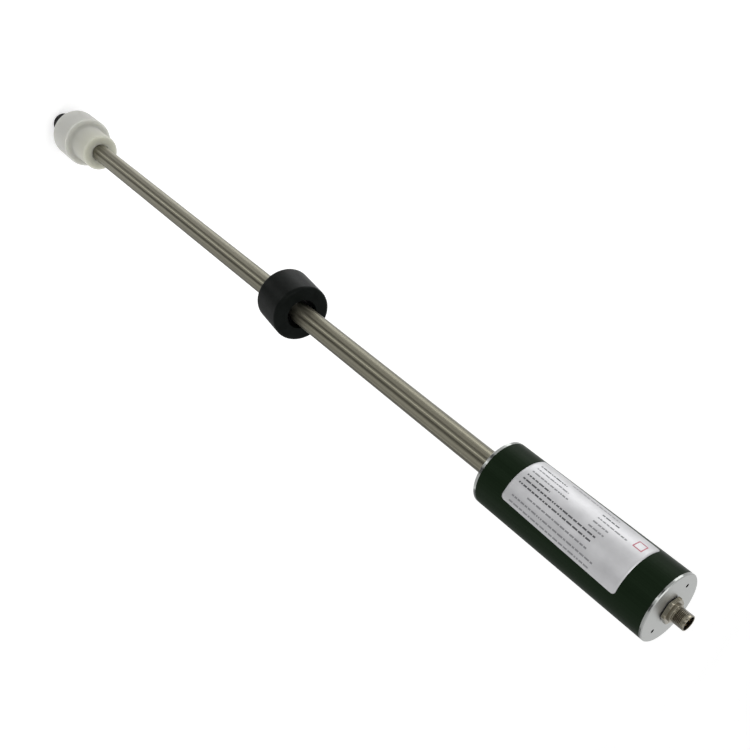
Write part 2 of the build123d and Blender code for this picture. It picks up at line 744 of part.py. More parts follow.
def make_terminal_block():
    """Terminal block at the board's upper edge, with its entries on top."""
    block = cuboid(TERMINAL_BLOCK, BOARD_FRONT, 0, TERMINAL_HIGH - TERMINAL_BLOCK[2])
    low = TERMINAL_HIGH - TERMINAL_HOLE_DEPTH
    for y in terminal_points():
        block -= rod(WIRE_RADIUS + SLIP, low, TERMINAL_HIGH, TERMINAL_X, y)
    return block


def make_signal_wires():
    """Short wires from the connector's solder tails down into the terminal block."""
    wires = []
    low = TERMINAL_HIGH - TERMINAL_HOLE_DEPTH
    for (x, y), entry in zip(pin_points(), terminal_points()):
        route = FilletPolyline(
            (x, y, PIN_LOW),
            (x, y, PIN_LOW - WIRE_STRAIGHT),
            (TERMINAL_X, entry, TERMINAL_HIGH + WIRE_STRAIGHT),
            (TERMINAL_X, entry, low),
            radius=WIRE_BEND,
        )
        section = Plane(origin=route @ 0, z_dir=route % 0) * Circle(WIRE_RADIUS)
        wires.append(sweep(section, path=route))
    return Compound(wires)


PIECES = {
    "foot": make_foot,
    "boot": make_boot,
    "boot_set_screw": make_set_screw,
    "stem_tube": make_stem_tube,
    "stem_end_plug": make_stem_end_plug,
    "stem_flange": make_stem_flange,
    "stem_flange_screws": make_stem_flange_screws,
    "stem_o_ring": make_stem_o_ring,
    "float_body": make_float_body,
    "float_magnets": make_float_magnets,
    "float_magnet_plugs": make_float_magnet_plugs,
    "housing_tube": make_housing_tube,
    "top_cap": make_top_cap,
    "bottom_cap": make_bottom_cap,
    "top_cap_o_ring": lambda: cap_o_ring(TUBE_HIGH, -1),
    "bottom_cap_o_ring": lambda: cap_o_ring(TUBE_LOW, 1),
    "label": make_label,
    "connector_seal": make_connector_seal,
    "connector_shell": make_connector_shell,
    "connector_insert": make_connector_insert,
    "connector_pins": make_connector_pins,
    "connector_lock_nut": make_connector_lock_nut,
    "pickup_head": make_pickup_head,
    "pickup_bobbin": make_pickup_bobbin,
    "pickup_coil": make_pickup_coil,
    "pickup_leads": make_pickup_leads,
    "bias_magnet": make_bias_magnet,
    "head_damper": make_head_damper,
    "tip_damper": make_tip_damper,
    "waveguide_wire": make_waveguide_wire,
    "waveguide_sleeve": make_waveguide_sleeve,
    "return_wire": make_return_wire,
    "sleeve_spacers": make_sleeve_spacers,
    "sensor_strip": make_sensor_strip,
    "temperature_sensors": make_temperature_sensors,
    "board_carrier": make_board_carrier,
    "main_board": make_main_board,
    "board_screws": make_board_screws,
    "processor": make_processor,
    "interface_chips": make_interface_chips,
    "capacitors": make_capacitors,
    "isolation_transformer": make_isolation_transformer,
    "terminal_block": make_terminal_block,
    "signal_wires": make_signal_wires,
}

os.makedirs("parts", exist_ok=True)
for node, make in PIECES.items():
    export_step(make(), f"parts/{node}.step")
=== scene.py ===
import bpy
import numpy as np
from mathutils import Matrix, Vector


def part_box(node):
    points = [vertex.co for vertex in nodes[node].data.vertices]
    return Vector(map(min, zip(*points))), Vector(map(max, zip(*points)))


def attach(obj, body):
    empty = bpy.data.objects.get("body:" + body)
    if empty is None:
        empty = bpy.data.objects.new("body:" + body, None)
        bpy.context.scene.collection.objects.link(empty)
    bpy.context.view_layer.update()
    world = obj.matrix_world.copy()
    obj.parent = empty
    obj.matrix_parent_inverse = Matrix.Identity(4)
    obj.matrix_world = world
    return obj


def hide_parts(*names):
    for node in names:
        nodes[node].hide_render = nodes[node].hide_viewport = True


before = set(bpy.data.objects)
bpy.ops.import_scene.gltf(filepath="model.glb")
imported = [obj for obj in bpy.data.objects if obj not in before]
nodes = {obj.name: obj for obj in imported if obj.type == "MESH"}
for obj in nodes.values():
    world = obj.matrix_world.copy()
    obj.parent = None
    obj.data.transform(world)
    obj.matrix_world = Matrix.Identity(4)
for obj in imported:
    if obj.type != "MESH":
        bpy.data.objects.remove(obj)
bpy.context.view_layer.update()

# Automatic tank gauge, as it stands when installed: foot at the origin, stem up +Z, label towards -Y.
# Blender works in metres, and sizes that read better in millimetres carry the factor MM.
MM = 0.001

# Camera
# A 45 mm lens in front of the gauge and above its top looks down at the stem. It is rolled so that the
# gauge runs from the upper left of a square picture to its lower right.
CAMERA_PLACE = Vector((-0.0364, -0.6177, 1.1668))
CAMERA_AIM = Vector((0.0016, -0.0005, 0.6655))
CAMERA_ROLL = np.radians(128.77)
CAMERA_LENS = 45.21
SENSOR_WIDTH = 36.0

lens = bpy.data.cameras.new("camera")
lens.lens = CAMERA_LENS
lens.sensor_width = SENSOR_WIDTH
camera = bpy.data.objects.new("camera", lens)
bpy.context.scene.collection.objects.link(camera)
level = (CAMERA_AIM - CAMERA_PLACE).to_track_quat("-Z", "Y").to_matrix().to_4x4()
camera.matrix_world = Matrix.Translation(CAMERA_PLACE) @ level @ Matrix.Rotation(CAMERA_ROLL, 4, "Z")
bpy.context.scene.camera = camera

# Stem
# A 20 mm stainless tube, drawn and then polished, so that fine lines run along it. A plug is welded into
# its lower end, and a flange at the upper end is clamped inside the housing's lower cap by three screws.
STEM_RADIUS = 10.0 * MM
STEM_WALL = 1.5 * MM
STEM_EDGE = 0.3 * MM
STEM_COLOUR_DARK = (0.118, 0.112, 0.084)
STEM_COLOUR_LIGHT = (0.205, 0.196, 0.152)
STEM_ROUGHNESS = 0.285


def section(*corners, steps=6):
    """Closed outline of a turned piece, as rows of (radius, height).

    Each corner is (radius, height, rounding), and the rounding is an arc that touches both its sides. The
    arc starts rounding / tan(half the angle between the sides) before the corner, ends as far after it,
    and its points go round its centre in equal steps. One more point lies a quarter of the rounding
    outside each end of the arc, so that the shading stays flat along the sides.
    """
    outline = []
    for k, (radius, height, rounding) in enumerate(corners):
        corner = np.array((radius, height))
        back = np.array(corners[k - 1][:2]) - corner
        ahead = np.array(corners[(k + 1) % len(corners)][:2]) - corner
        back /= np.linalg.norm(back)
        ahead /= np.linalg.norm(ahead)
        half = np.arccos(back @ ahead) / 2
        reach = rounding / np.tan(half)
        centre = corner + (back + ahead) / np.linalg.norm(back + ahead) * rounding / np.sin(half)
        turn = np.pi - 2 * half
        share = np.linspace(0, 1, steps + 1)[:, None]
        start = corner + back * reach - centre
        end = corner + ahead * reach - centre
        arc = (np.sin((1 - share) * turn) * start + np.sin(share * turn) * end) / np.sin(turn)
        beside = reach + rounding / 4
        outline.append(np.vstack((corner + back * beside, centre + arc, corner + ahead * beside)))
    return np.vstack(outline)


def skin(name, grid, closed=(True, True)):
    """Mesh object from a grid of points, where each four neighbours make a face.

    A closed direction joins its last line to its first. The UV map counts 0 to 1 along each direction.
    """
    rows, columns = grid.shape[:2]
    i, j = np.mgrid[0 : rows - 1 + closed[0], 0 : columns - 1 + closed[1]]
    i = np.stack((i, i, i + 1, i + 1), -1).reshape(-1, 4)
    j = np.stack((j, j + 1, j + 1, j), -1).reshape(-1, 4)
    faces = (i % rows) * columns + j % columns
    mesh = bpy.data.meshes.new(name)
    mesh.from_pydata(grid.reshape(-1, 3).tolist(), [], faces.tolist())
    mesh.shade_smooth()
    uv = np.stack((j / columns, i / rows), -1).astype(np.float32)
    mesh.uv_layers.new(name="around").data.foreach_set("uv", uv.ravel())
    piece = bpy.data.objects.new(name, mesh)
    bpy.context.scene.collection.objects.link(piece)
    return piece


def turned(name, outline, sides=128):
    """Turned piece: row i, column j is outline point i at j / sides of a full turn round Z."""
    angle = np.arange(sides) * 2 * np.pi / sides
    radius, height = outline[:, :1], outline[:, 1:]
    flat = (radius * np.cos(angle), radius * np.sin(angle), height + 0 * angle)
    return skin(name, np.stack(flat, -1))


def finish(name, colour, roughness, **sockets):
    """Material of one shader. Each further word names one of its sockets, with _ for a space."""
    material = bpy.data.materials.new(name)
    material.use_nodes = True
    shader = material.node_tree.nodes["Principled BSDF"]
    shader.inputs["Base Color"].default_value = (*colour, 1)
    shader.inputs["Roughness"].default_value = roughness
    for socket, value in sockets.items():
        shader.inputs[socket.replace("_", " ")].default_value = value
    return material


def pattern(material, scale, detail=2.0):
    """Cloudy pattern from 0 to 1, fixed in the piece, with scale spots to the metre along X, Y and Z."""
    tree = material.node_tree
    place = tree.nodes.new("ShaderNodeTexCoord")
    stretch = tree.nodes.new("ShaderNodeMapping")
    stretch.inputs["Scale"].default_value = scale
    cloud = tree.nodes.new("ShaderNodeTexNoise")
    cloud.inputs["Scale"].default_value = 1.0
    cloud.inputs["Detail"].default_value = detail
    tree.links.new(place.outputs["Object"], stretch.inputs["Vector"])
    tree.links.new(stretch.outputs["Vector"], cloud.inputs["Vector"])
    return cloud.outputs["Fac"]


def colour_between(material, spots, dark, light, spread=0.2):
    """The base colour goes from dark to light with a pattern, and spread is how soft the change is."""
    tree = material.node_tree
    ramp = tree.nodes.new("ShaderNodeValToRGB")
    ramp.color_ramp.elements[0].position = 0.5 - spread
    ramp.color_ramp.elements[1].position = 0.5 + spread
    ramp.color_ramp.elements[0].color = (*dark, 1)
    ramp.color_ramp.elements[1].color = (*light, 1)
    tree.links.new(spots, ramp.inputs["Fac"])
    tree.links.new(ramp.outputs["Color"], tree.nodes["Principled BSDF"].inputs["Base Color"])


def relief(material, spots, depth):
    """Fine relief that follows a pattern, of that depth in metres."""
    tree = material.node_tree
    bump = tree.nodes.new("ShaderNodeBump")
    bump.inputs["Distance"].default_value = depth
    bump.inputs["Strength"].default_value = 1.0
    tree.links.new(spots, bump.inputs["Height"])
    tree.links.new(bump.outputs["Normal"], tree.nodes["Principled BSDF"].inputs["Normal"])


def dress(material, *names):
    """Gives carried-over pieces this material."""
    for name in names:
        for slot in nodes[name].material_slots:
            slot.material = material


low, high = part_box("stem_tube")
inside = STEM_RADIUS - STEM_WALL
stem = turned(
    "stem_tube_polished",
    section(
        (STEM_RADIUS, low.z, STEM_EDGE),
        (STEM_RADIUS, high.z, STEM_EDGE),
        (inside, high.z, STEM_EDGE),
        (inside, low.z, STEM_EDGE),
    ),
)
# Reflections are blurred along the stem, which is a quarter turn from the tangent that runs round it.
polished_steel = finish(
    "polished_steel",
    STEM_COLOUR_LIGHT,
    STEM_ROUGHNESS,
    Metallic=1.0,
    Anisotropic=1.0,
    Anisotropic_Rotation=0.25,
)
around_stem = polished_steel.node_tree.nodes.new("ShaderNodeTangent")
around_stem.direction_type = "UV_MAP"
around_stem.uv_map = "around"
polished_steel.node_tree.links.new(
    around_stem.outputs["Tangent"],
    polished_steel.node_tree.nodes["Principled BSDF"].inputs["Tangent"],
)
drawn_lines = pattern(polished_steel, (700, 700, 1.5), detail=3.0)
colour_between(polished_steel, drawn_lines, STEM_COLOUR_DARK, STEM_COLOUR_LIGHT)
relief(polished_steel, drawn_lines, 0.004 * MM)
stem.data.materials.append(polished_steel)
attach(stem, "probe")
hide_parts("stem_tube")

turned_steel = finish("turned_steel", (0.42, 0.41, 0.38), 0.35, Metallic=1.0)
relief(turned_steel, pattern(turned_steel, (60, 60, 4000)), 0.005 * MM)
dress(turned_steel, "stem_end_plug", "stem_flange")
screw_steel = finish("screw_steel", (0.50, 0.50, 0.48), 0.28, Metallic=1.0)
colour_between(
    screw_steel, pattern(screw_steel, (900, 900, 900)), (0.40, 0.40, 0.38), (0.56, 0.56, 0.54)
)
dress(screw_steel, "stem_flange_screws", "board_screws", "boot_set_screw")

# Sensing line
# A thin alloy wire and its copper return run down the stem in a plastic sleeve, held in the middle by
# silicone discs and gripped at the lower end by a damper. A film strip beside them carries five
# temperature sensors.
wire_alloy = finish("wire_alloy", (0.50, 0.48, 0.45), 0.3, Metallic=1.0)
relief(wire_alloy, pattern(wire_alloy, (3000, 3000, 40)), 0.003 * MM)
dress(wire_alloy, "waveguide_wire")
copper = finish("copper", (0.60, 0.26, 0.12), 0.35, Metallic=1.0)
colour_between(copper, pattern(copper, (300, 300, 5000)), (0.42, 0.15, 0.06), (0.68, 0.32, 0.16))
dress(copper, "return_wire", "pickup_coil", "pickup_leads")
clear_plastic = finish("clear_plastic", (0.75, 0.75, 0.72), 0.4, Subsurface_Weight=0.2)
relief(clear_plastic, pattern(clear_plastic, (500, 500, 60)), 0.01 * MM)
dress(clear_plastic, "waveguide_sleeve", "pickup_bobbin")
silicone = finish("silicone", (0.30, 0.08, 0.05), 0.55)
relief(silicone, pattern(silicone, (1200, 1200, 1200)), 0.02 * MM)
dress(silicone, "sleeve_spacers", "tip_damper", "head_damper")
amber_film = finish("amber_film", (0.45, 0.20, 0.03), 0.25)
colour_between(amber_film, pattern(amber_film, (40, 900, 40)), (0.36, 0.15, 0.02), (0.52, 0.25, 0.05))
dress(amber_film, "sensor_strip")

# Pickup and electronics
# A wound spool with its bias magnet sits on a moulded collar on the stem. Above it a moulded trough
# holds the green board with its chips, round cans, transformer and terminals, wired to the connector.
moulded_black = finish("moulded_black", (0.035, 0.035, 0.035), 0.5)
relief(moulded_black, pattern(moulded_black, (2500, 2500, 2500)), 0.02 * MM)
dress(moulded_black, "pickup_head", "board_carrier")
plated_magnet = finish("plated_magnet", (0.45, 0.45, 0.46), 0.25, Metallic=1.0)
relief(plated_magnet, pattern(plated_magnet, (1500, 1500, 1500)), 0.005 * MM)
dress(plated_magnet, "bias_magnet", "float_magnets")
board_green = finish("board_green", (0.01, 0.12, 0.04), 0.3, Coat_Weight=0.4)
colour_between(
    board_green,
    pattern(board_green, (400, 400, 400)),
    (0.008, 0.09, 0.03),
    (0.015, 0.15, 0.06),
    spread=0.05,
)
dress(board_green, "main_board")
chip_epoxy = finish("chip_epoxy", (0.014, 0.014, 0.014), 0.6)
relief(chip_epoxy, pattern(chip_epoxy, (6000, 6000, 6000)), 0.01 * MM)
dress(chip_epoxy, "processor", "interface_chips", "temperature_sensors")
drawn_can = finish("drawn_can", (0.55, 0.55, 0.56), 0.3, Metallic=1.0)
relief(drawn_can, pattern(drawn_can, (30, 2000, 2000)), 0.005 * MM)
dress(drawn_can, "capacitors")
ferrite = finish("ferrite", (0.05, 0.05, 0.05), 0.45)
relief(ferrite, pattern(ferrite, (2000, 2000, 2000)), 0.02 * MM)
dress(ferrite, "isolation_transformer")
terminal_green = finish("terminal_green", (0.03, 0.25, 0.08), 0.4)
relief(terminal_green, pattern(terminal_green, (1500, 1500, 1500)), 0.01 * MM)
dress(terminal_green, "terminal_block")
wire_grey = finish("wire_grey", (0.30, 0.30, 0.32), 0.45)
relief(wire_grey, pattern(wire_grey, (1500, 1500, 1500)), 0.01 * MM)
dress(wire_grey, "signal_wires")

# Float
# A moulded ring of closed-cell foam with a satin black skin and well rounded rims. It hangs loosely on
# the stem, leaning. Four magnets inside it are sealed from below with resin.
FLOAT_RADIUS = 27.5 * MM
FLOAT_HEIGHT = 41.0 * MM
FLOAT_BORE = 14.2 * MM
FLOAT_EDGE = 3.5 * MM
FLOAT_MOUTH = 0.6 * MM
FLOAT_TILT = np.radians(8.1)
FLOAT_TILT_TOWARDS = np.radians(-47.5)
FOAM_COLOUR_DARK = (0.0030, 0.0040, 0.0034)
FOAM_COLOUR_LIGHT = (0.0060, 0.0075, 0.0066)

half = FLOAT_HEIGHT / 2
ring = turned(
    "float_ring",
    section(
        (FLOAT_RADIUS, -half, FLOAT_EDGE),
        (FLOAT_RADIUS, half, FLOAT_EDGE),
        (FLOAT_BORE, half, FLOAT_MOUTH),
        (FLOAT_BORE, -half, FLOAT_MOUTH),
        steps=12,
    ),
    sides=160,
)
float_low, float_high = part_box("float_body")
lean_axis = Vector((-np.sin(FLOAT_TILT_TOWARDS), np.cos(FLOAT_TILT_TOWARDS), 0))
lean = Matrix.Rotation(FLOAT_TILT, 4, lean_axis)
ring.data.transform(Matrix.Translation((float_low + float_high) / 2) @ lean)
foam_skin = finish("foam_skin", (0.005, 0.006, 0.005), 0.38, Specular_IOR_Level=0.04)
foam_clouds = pattern(foam_skin, (160, 160, 160), detail=4.0)
colour_between(foam_skin, foam_clouds, FOAM_COLOUR_DARK, FOAM_COLOUR_LIGHT)
relief(foam_skin, pattern(foam_skin, (1800, 1800, 1800), detail=4.0), 0.05 * MM)
ring.data.materials.append(foam_skin)
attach(ring, "float")
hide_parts("float_body")
resin = finish("resin", (0.020, 0.020, 0.022), 0.3)
relief(resin, pattern(resin, (700, 700, 700)), 0.03 * MM)
dress(resin, "float_magnet_plugs")

# Boot
# Turned from natural white plastic in one piece, a wide body below a narrower collar, and pushed on the
# stem. A grub screw in the back of the collar clamps it.
BOOT_BODY_RADIUS = 29.4 * MM
BOOT_COLLAR_RADIUS = 21.4 * MM
BOOT_SHOULDER = 76.5 * MM
BOOT_BORE = 10.05 * MM
BOOT_EDGE = 1.8 * MM
BOOT_SHOULDER_EDGE = 0.9 * MM
BOOT_SHOULDER_ROOT = 3.5 * MM
BOOT_ROOT = 0.8 * MM
BOOT_COLOUR_BELOW = (0.485, 0.485, 0.455)
# The colour above is painted shade, for the dark stem seen through the collar.
BOOT_COLOUR_SHADED_ABOVE = (0.475, 0.475, 0.405)
BOOT_SHADE_DROP = 10.0 * MM
BOOT_LIGHT_REACH = 22.0 * MM

low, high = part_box("boot")
boot = turned(
    "boot_turned",
    section(
        (BOOT_BODY_RADIUS, low.z, BOOT_EDGE),
        (BOOT_BODY_RADIUS, BOOT_SHOULDER, BOOT_SHOULDER_EDGE),
        (BOOT_COLLAR_RADIUS, BOOT_SHOULDER, BOOT_SHOULDER_ROOT),
        (BOOT_COLLAR_RADIUS, high.z, BOOT_EDGE),
        (BOOT_BORE, high.z, BOOT_ROOT),
        (BOOT_BORE, low.z, BOOT_ROOT),
    ),
    sides=160,
)
white_plastic = finish(
    "white_plastic",
    BOOT_COLOUR_BELOW,
    0.5,
    Subsurface_Weight=1.0,
    Subsurface_Radius=(1.0, 1.0, 0.95),
    Subsurface_Scale=BOOT_LIGHT_REACH,
    Specular_IOR_Level=0.2,
)
# Painted shade: the colour darkens a little and warms from just below the shoulder up to the collar's
# top, standing in for the dark stem seen through the thinner collar.
boot_place = white_plastic.node_tree.nodes.new("ShaderNodeTexCoord")
boot_height = white_plastic.node_tree.nodes.new("ShaderNodeSeparateXYZ")
boot_shade_share = white_plastic.node_tree.nodes.new("ShaderNodeMapRange")
boot_shade_share.inputs["From Min"].default_value = BOOT_SHOULDER - BOOT_SHADE_DROP
boot_shade_share.inputs["From Max"].default_value = high.z
white_plastic.node_tree.links.new(boot_place.outputs["Object"], boot_height.inputs["Vector"])
white_plastic.node_tree.links.new(boot_height.outputs["Z"], boot_shade_share.inputs["Value"])
colour_between(
    white_plastic, boot_shade_share.outputs["Result"], BOOT_COLOUR_BELOW, BOOT_COLOUR_SHADED_ABOVE, spread=0.5
)
relief(white_plastic, pattern(white_plastic, (30, 30, 2500)), 0.01 * MM)
boot.data.materials.append(white_plastic)
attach(boot, "probe")
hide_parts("boot")

# Foot and seals
# The foot is a black rubber ferrule on the end of the stem. The seals are black rubber too: O-rings in
# the caps and round the stem, and a flat washer under the connector.
foot_rubber = finish("foot_rubber", (0.006, 0.006, 0.006), 0.6, Specular_IOR_Level=0.1)
relief(foot_rubber, pattern(foot_rubber, (1500, 1500, 1500)), 0.05 * MM)
dress(foot_rubber, "foot", "stem_o_ring", "top_cap_o_ring", "bottom_cap_o_ring", "connector_seal")

# Housing tube
# Drawn aluminium tube, anodised a black that shows green in the light. Both caps screw into it.
TUBE_RADIUS = 27.0 * MM
TUBE_WALL = 3.0 * MM
TUBE_EDGE = 0.25 * MM

low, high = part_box("housing_tube")
tube_bore = TUBE_RADIUS - TUBE_WALL
housing = turned(
    "housing_anodised_tube",
    section(
        (TUBE_RADIUS, low.z, TUBE_EDGE),
        (TUBE_RADIUS, high.z, TUBE_EDGE),
        (tube_bore, high.z, TUBE_EDGE),
        (tube_bore, low.z, TUBE_EDGE),
    ),
    sides=192,
)
black_anodising = finish(
    "black_anodising",
    (0.007, 0.014, 0.007),
    0.35,
    Specular_IOR_Level=0.03,
    Specular_Tint=(0.7, 1.0, 0.65, 1),
)
drawn_grain = pattern(black_anodising, (1600, 1600, 4), detail=3.0)
colour_between(black_anodising, drawn_grain, (0.0060, 0.0115, 0.0055), (0.0085, 0.0160, 0.0080))
relief(black_anodising, drawn_grain, 0.002 * MM)
housing.data.materials.append(black_anodising)
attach(housing, "probe")
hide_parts("housing_tube")

# Caps
# Turned aluminium, clear anodised. Their flat faces are blasted, and their rims are left as turned, which
# is glossier; the rims' darker colour is painted shade. The top one has two blind holes for a face
# spanner, and the lower one is bored for the stem.
CAP_FACE_COLOUR = (0.42, 0.43, 0.42)
CAP_RIM_SHADE_COLOUR = (0.26, 0.27, 0.26)
CAP_FACE_ROUGHNESS = 0.42
CAP_RIM_ROUGHNESS = 0.16

cap_aluminium = finish("cap_aluminium", CAP_FACE_COLOUR, CAP_FACE_ROUGHNESS, Metallic=1.0)
# The square of the normal's Z is 1 on a flat face and 0 on a rim.
cap_tree = cap_aluminium.node_tree
cap_place = cap_tree.nodes.new("ShaderNodeTexCoord")
cap_normal = cap_tree.nodes.new("ShaderNodeSeparateXYZ")
cap_tree.links.new(cap_place.outputs["Normal"], cap_normal.inputs["Vector"])
flatness = cap_tree.nodes.new("ShaderNodeMath")
flatness.operation = "MULTIPLY"
for factor in flatness.inputs[:2]:
    cap_tree.links.new(cap_normal.outputs["Z"], factor)
cap_gloss = cap_tree.nodes.new("ShaderNodeMapRange")
cap_gloss.inputs["To Min"].default_value = CAP_RIM_ROUGHNESS
cap_gloss.inputs["To Max"].default_value = CAP_FACE_ROUGHNESS
cap_tree.links.new(flatness.outputs["Value"], cap_gloss.inputs["Value"])
cap_tree.links.new(cap_gloss.outputs["Result"], cap_tree.nodes["Principled BSDF"].inputs["Roughness"])
# Painted shade: the rims are painted darker than the faces, by which way they face.
colour_between(cap_aluminium, flatness.outputs["Value"], CAP_RIM_SHADE_COLOUR, CAP_FACE_COLOUR, spread=0.4)
relief(cap_aluminium, pattern(cap_aluminium, (4000, 4000, 4000)), 0.01 * MM)
dress(cap_aluminium, "top_cap", "bottom_cap")

# Label
# Silver polyester foil with rounded corners, stuck a little askew round the housing. It is printed with
# plain rows of bars and an empty frame.
LABEL_RADIUS = 27.15 * MM
LABEL_THICKNESS = 0.1 * MM
LABEL_LENGTH = 106.0 * MM
LABEL_SPAN = np.radians(106.0)
LABEL_CORNER = 3.0 * MM
LABEL_SKEW = np.radians(-1.8)
LABEL_TOWARDS = np.radians(-113.7)
LABEL_DROP = 24.6 * MM
LABEL_LINES_ALONG = 60
LABEL_LINES_ACROSS = 90

label_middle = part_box("top_cap")[1].z - LABEL_DROP - LABEL_LENGTH / 2


def on_housing(along, across, radius):
    """Points on the housing from flat label coordinates, along the stem and across towards -X.

    The flat point is turned by the label's skew and wrapped: the angle round Z is the label's own angle
    less across / the tube's radius, and the height is the label's middle plus along.
    """
    turned_along = along * np.cos(LABEL_SKEW) - across * np.sin(LABEL_SKEW)
    turned_across = along * np.sin(LABEL_SKEW) + across * np.cos(LABEL_SKEW)
    angle = LABEL_TOWARDS - turned_across / TUBE_RADIUS
    return np.stack((radius * np.cos(angle), radius * np.sin(angle), label_middle + turned_along), -1)


# The grid's lines crowd towards the long edges, where the corners' arcs shorten them. It runs backwards
# across the label, so that its faces point outwards.
reach = TUBE_RADIUS * LABEL_SPAN / 2
across = reach * np.sin(np.linspace(-np.pi / 2, np.pi / 2, LABEL_LINES_ACROSS))
past = np.clip(np.abs(across) - (reach - LABEL_CORNER), 0, LABEL_CORNER)
length = LABEL_LENGTH / 2 - LABEL_CORNER + np.sqrt(LABEL_CORNER**2 - past**2)
along = np.linspace(-1, 1, LABEL_LINES_ALONG)[:, None] * length
foil_grid = on_housing(along, across + 0 * along, LABEL_RADIUS)[:, ::-1]
foil = skin("label_foil", foil_grid, closed=(False, False))
foil_thickness = foil.modifiers.new("thickness", "SOLIDIFY")
foil_thickness.thickness = LABEL_THICKNESS
silver_foil = finish("silver_foil", (0.48, 0.48, 0.49), 0.50, Metallic=0.7)
foil_clouds = pattern(silver_foil, (90, 90, 90), detail=3.0)
colour_between(silver_foil, foil_clouds, (0.45, 0.45, 0.46), (0.51, 0.51, 0.52))
relief(silver_foil, pattern(silver_foil, (500, 500, 500)), 0.004 * MM)
foil.data.materials.append(silver_foil)
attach(foil, "probe")
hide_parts("label")

# Print
# The label's rows, each a run of plain bars, and an empty red frame in its corner, all ink printed on the
# foil. Each row is (place across the label, start, end), and rows and frame are in millimetres from the
# label's middle.
PRINT_RISE = 0.03 * MM
PRINT_SINK = 0.01 * MM
PRINT_SEED = 11
BAR_HEIGHT = 1.25 * MM
BAR_GAP = 0.75 * MM
BAR_LENGTHS = (1.1 * MM, 5.0 * MM)
BARS_PER_ROW = 40
DARK_ROWS = (
    (14.4, -48.2, -22.8),
    (0.8, -48.0, -26.0),
    (-3.3, -48.2, 20.6),
    (-7.3, -48.2, 20.6),
    (14.4, 10.5, 25.6),
)
GREY_ROWS = (
    (20.0, -22.0, 21.0),
    (9.8, -47.6, -17.0),
    (5.2, -47.6, -13.2),
    (9.8, 10.5, 36.5),
    (5.2, 10.5, 23.8),
    (0.8, 10.5, 24.0),
    (-12.6, -35.0, 21.0),
    (-17.7, -46.2, 30.2),
    (-22.1, -46.2, 29.0),
)
FRAME_ALONG = (40.6, 48.2)
FRAME_ACROSS = (9.6, 17.4)
FRAME_LINE = 0.9
FRAME_SIDE_BARS = 7

chance = np.random.default_rng(PRINT_SEED)


def words(rows):
    """Bars as rows of (start, end, lower edge, upper edge).

    Each row is filled from its start with bars of chance lengths, a gap apart. The bar at its end is cut
    there, and a rest shorter than half a gap is left out.
    """
    bars = []
    for place, start, end in rows:
        lengths = chance.uniform(*BAR_LENGTHS, BARS_PER_ROW)
        starts = start * MM + np.concatenate(((0,), np.cumsum(lengths + BAR_GAP)[:-1]))
        ends = np.minimum(starts + lengths, end * MM)
        keep = ends > starts + BAR_GAP / 2
        middle = place * MM + 0 * starts[keep]
        edges = (middle - BAR_HEIGHT / 2, middle + BAR_HEIGHT / 2)
        bars.append(np.stack((starts[keep], ends[keep], *edges), -1))
    return np.vstack(bars)


def printed(name, bars, ink):
    """Thin closed boxes on the foil, one for each bar.

    Corner k of a bar takes its start or end, its lower or upper edge, and its underside or top from the
    three binary digits of k.
    """
    digits = np.arange(8)
    along = np.where(digits & 1, bars[:, 1:2], bars[:, 0:1])
    across = np.where(digits & 2, bars[:, 3:4], bars[:, 2:3])
    radius = np.where(digits & 4, LABEL_RADIUS + PRINT_RISE, LABEL_RADIUS - PRINT_SINK)
    points = on_housing(along, across, radius + 0 * along).reshape(-1, 3)
    sides = ((0, 2, 3, 1), (4, 5, 7, 6), (0, 1, 5, 4), (2, 6, 7, 3), (0, 4, 6, 2), (1, 3, 7, 5))
    faces = (np.array(sides) + 8 * np.arange(len(bars))[:, None, None]).reshape(-1, 4)
    mesh = bpy.data.meshes.new(name)
    mesh.from_pydata(points.tolist(), [], faces.tolist())
    mesh.materials.append(ink)
    piece = bpy.data.objects.new(name, mesh)
    bpy.context.scene.collection.objects.link(piece)
    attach(piece, "probe")


def printing_ink(name, colour, dark, light):
    """Satin ink whose colour is a little uneven, from dark to light."""
    ink = finish(name, colour, 0.45)
    colour_between(ink, pattern(ink, (900, 900, 900)), dark, light)
    return ink


dark_ink = printing_ink("dark_ink", (0.055, 0.055, 0.060), (0.040, 0.040, 0.045), (0.075, 0.075, 0.080))
grey_ink = printing_ink("grey_ink", (0.20, 0.20, 0.21), (0.17, 0.17, 0.18), (0.24, 0.24, 0.25))
red_ink = printing_ink("red_ink", (0.42, 0.10, 0.14), (0.38, 0.08, 0.11), (0.46, 0.14, 0.18))
printed("label_rows_dark", words(DARK_ROWS), dark_ink)
printed("label_rows_grey", words(GREY_ROWS), grey_ink)
(start, end), (below, above) = FRAME_ALONG, FRAME_ACROSS
frame_bars = [(start, end, below, below + FRAME_LINE), (start, end, above - FRAME_LINE, above)]
# The sides that run round the housing are short bars in a row, because a long flat one would sink in.
cuts = np.linspace(below + FRAME_LINE, above - FRAME_LINE, FRAME_SIDE_BARS + 1)
for side in (start, end - FRAME_LINE):
    frame_bars += [(side, side + FRAME_LINE, *cut) for cut in zip(cuts[:-1], cuts[1:])]
printed("label_frame_red", np.array(frame_bars) * MM, red_ink)

